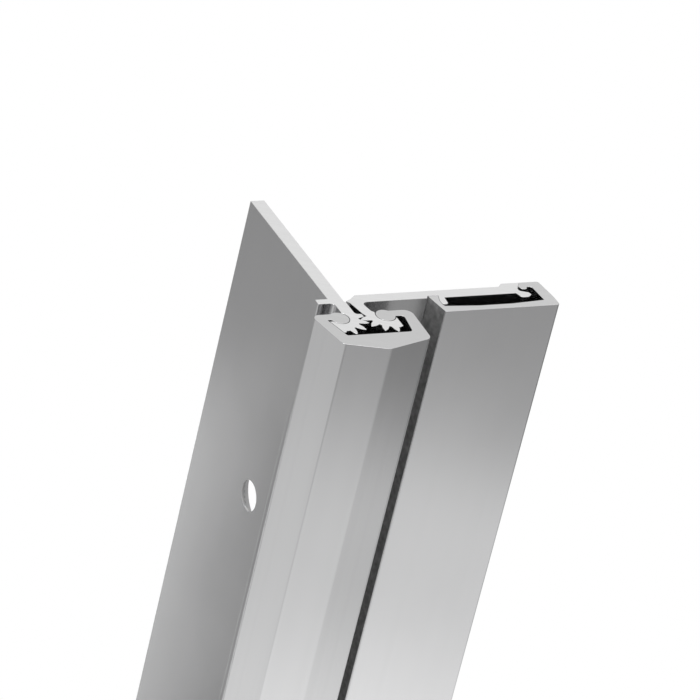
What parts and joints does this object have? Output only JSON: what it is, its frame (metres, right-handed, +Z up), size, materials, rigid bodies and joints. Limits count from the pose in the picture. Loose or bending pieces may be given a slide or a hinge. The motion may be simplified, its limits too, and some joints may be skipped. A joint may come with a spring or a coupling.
{
  "type": "continuous geared hinge",
  "caption": "Full-length aluminium hinge: two leaves with gear segments held in mesh by a faceted cap, one leaf under a snap-fit cover, the other drilled for countersunk screws.",
  "frame": {"origin": "middle of the frame leaf's row of screws, on the face that meets the jamb", "axes": "+X from the jamb across the door's opening, +Y from the hinge's front towards the wall, +Z up along the hinge"},
  "size_m": [0.0658, 0.0668, 2.1082],
  "materials": {
    "frame_leaf": "clear anodised",
    "door_leaf": "clear anodised",
    "gear_cap": "clear anodised",
    "leaf_cover": "clear anodised",
    "thrust_bearing": "moulded acetal"
  },
  "bodies": {
    "frame_leaf": {"frame_leaf": "frame_leaf"},
    "gear_cap": {"gear_cap": "gear_cap", "thrust_bearing_01": "thrust_bearing", "thrust_bearing_02": "thrust_bearing", "thrust_bearing_03": "thrust_bearing", "thrust_bearing_04": "thrust_bearing", "thrust_bearing_05": "thrust_bearing", "thrust_bearing_06": "thrust_bearing", "thrust_bearing_07": "thrust_bearing", "thrust_bearing_08": "thrust_bearing", "thrust_bearing_09": "thrust_bearing", "thrust_bearing_10": "thrust_bearing", "thrust_bearing_11": "thrust_bearing", "thrust_bearing_12": "thrust_bearing", "thrust_bearing_13": "thrust_bearing", "thrust_bearing_14": "thrust_bearing", "thrust_bearing_15": "thrust_bearing", "thrust_bearing_16": "thrust_bearing"},
    "door_leaf": {"door_leaf": "door_leaf", "leaf_cover": "leaf_cover"}
  },
  "joints": [
    {"name": "cap_swing", "type": "hinge", "parent": "frame_leaf", "child": "gear_cap", "pos_m": [-0.0007, -0.022, 0], "axis": [0, 0, -1], "range_deg": [0, 50]},
    {"name": "door_leaf_swing", "type": "hinge", "parent": "gear_cap", "child": "door_leaf", "pos_m": [0.0115, -0.022, 0], "axis": [0, 0, -1], "range_deg": [0, 50]}
  ],
  "couplings": [
    {"joint": "door_leaf_swing", "follows": "cap_swing", "ratio": 1}
  ]
}
